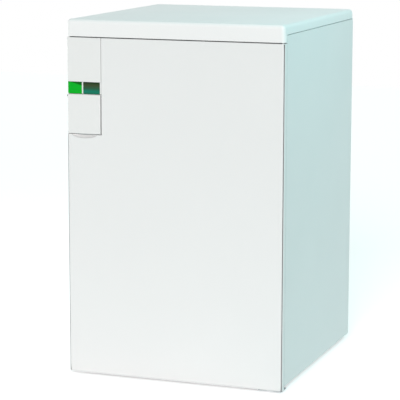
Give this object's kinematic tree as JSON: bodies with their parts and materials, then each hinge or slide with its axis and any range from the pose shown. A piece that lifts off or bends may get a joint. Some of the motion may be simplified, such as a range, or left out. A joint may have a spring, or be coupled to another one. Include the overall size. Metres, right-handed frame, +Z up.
{
  "type": "floor standing gas boiler",
  "caption": "White floor standing gas boiler: sheet-steel case with hinged door, control column with flap, cast-iron heat exchanger, atmospheric burner and rear flue.",
  "frame": {"origin": "centre of the bottom of the whole object's box, flue spigot included, at the soles of the feet", "axes": "+Z up; the door faces -Y and the flue spigot points to +Y; +X is to the right of a viewer who stands in front of the door"},
  "size_m": [0.535, 0.63, 0.85],
  "materials": {
    "black_plastic": "fine-grained black moulding",
    "brass": "machined brass",
    "burner_steel": "heat-stained stainless steel",
    "case_white": "smooth white enamel",
    "cast_iron": "rough cast iron, dark",
    "control_white": "smooth white moulding",
    "copper": null,
    "dark_lens": "dark smoked green lens",
    "dial_white": "matt white dial",
    "foil": "mineral wool faced with aluminium foil",
    "galvanised": "galvanised sheet",
    "green_lens": "clear green lens",
    "grey_plastic": "dark grey moulding",
    "red_plastic": "red moulding",
    "sight_glass": "clear heat-proof glass",
    "steel": "bright steel",
    "valve_alloy": "die-cast alloy, bead-blasted"
  },
  "bodies": {
    "case": {"base_tray": "galvanised", "block_stand": "galvanised", "burner_bar_1": "burner_steel", "burner_bar_2": "burner_steel", "burner_bar_3": "burner_steel", "burner_bar_4": "burner_steel", "burner_front_plate": "burner_steel", "cable_gland": "grey_plastic", "combustion_chamber": "burner_steel", "control_cover": "control_white", "control_housing": "grey_plastic", "dark_lens": "dark_lens", "drain_cock": "brass", "draught_diverter": "galvanised", "flap_hinge_pin": "steel", "flow_pipe": "steel", "front_section": "cast_iron", "front_top_rail": "galvanised", "gas_manifold": "steel", "gas_pipe": "steel", "gas_valve": "valve_alloy", "green_lens": "green_lens", "hinge_bracket_bottom": "galvanised", "hinge_bracket_top": "galvanised", "housing_back_cover": "grey_plastic", "indicator_lamp": "grey_plastic", "insulation_jacket": "foil", "levelling_foot_1": "steel", "levelling_foot_2": "steel", "levelling_foot_3": "steel", "levelling_foot_4": "steel", "magnet_catch": "black_plastic", "middle_section_1": "cast_iron", "middle_section_2": "cast_iron", "pilot_burner": "brass", "rear_panel": "case_white", "rear_section": "cast_iron", "return_pipe": "steel", "side_panel_left": "case_white", "side_panel_right": "case_white", "sight_glass": "sight_glass", "smoke_hood": "galvanised", "thermocouple": "copper", "thermometer_dial": "dial_white", "tie_rod_1": "steel", "tie_rod_2": "steel", "tie_rod_3": "steel", "tie_rod_4": "steel", "top_cover": "case_white", "window_frame": "control_white"},
    "door": {"door_panel": "case_white", "door_insulation": "foil"},
    "flap": {"control_flap": "control_white"},
    "switch": {"power_switch": "black_plastic"},
    "thermostat": {"thermostat_knob": "black_plastic"},
    "ignition": {"ignition_button": "red_plastic"},
    "reset": {"overheat_reset_button": "black_plastic"},
    "needle": {"thermometer_needle": "red_plastic"},
    "gas_knob": {"gas_valve_knob": "black_plastic"},
    "tap": {"drain_cock_tap": "red_plastic"}
  },
  "joints": [
    {"name": "door_hinge", "type": "hinge", "parent": "case", "child": "door", "pos_m": [0.261, -0.309, 0.0055], "axis": [0, 0, 1], "range_deg": [0, 110]},
    {"name": "flap_hinge", "type": "hinge", "parent": "case", "child": "flap", "pos_m": [-0.2675, -0.3102, 0.6704], "axis": [-1, 0, 0], "range_deg": [0, 95]},
    {"name": "power_switch_tilt", "type": "hinge", "parent": "case", "child": "switch", "pos_m": [-0.2455, -0.2875, 0.646], "axis": [-1, 0, 0], "range_deg": [0, 16]},
    {"name": "thermostat_knob_turn", "type": "hinge", "parent": "case", "child": "thermostat", "pos_m": [-0.212, -0.2905, 0.641], "axis": [0, 1, 0], "range_deg": [0, 270]},
    {"name": "ignition_button_press", "type": "slide", "parent": "case", "child": "ignition", "axis": [0, 1, 0], "range_m": [0, 0.0035], "stiffness_N_per_m": 250},
    {"name": "overheat_reset_button_press", "type": "slide", "parent": "case", "child": "reset", "axis": [0, 1, 0], "range_m": [0, 0.0035], "stiffness_N_per_m": 250},
    {"name": "thermometer_needle_turn", "type": "hinge", "parent": "case", "child": "needle", "pos_m": [-0.205, -0.3085, 0.69], "axis": [0, 1, 0], "range_deg": [0, 250]},
    {"name": "gas_valve_knob_turn", "type": "hinge", "parent": "case", "child": "gas_knob", "pos_m": [0.169, -0.2493, 0.196], "axis": [0, -1, 0], "range_deg": [0, 180]},
    {"name": "drain_cock_tap_turn", "type": "hinge", "parent": "case", "child": "tap", "pos_m": [-0.15, -0.2176, 0.352], "axis": [0, -1, 0], "range_deg": [0, 90]}
  ]
}
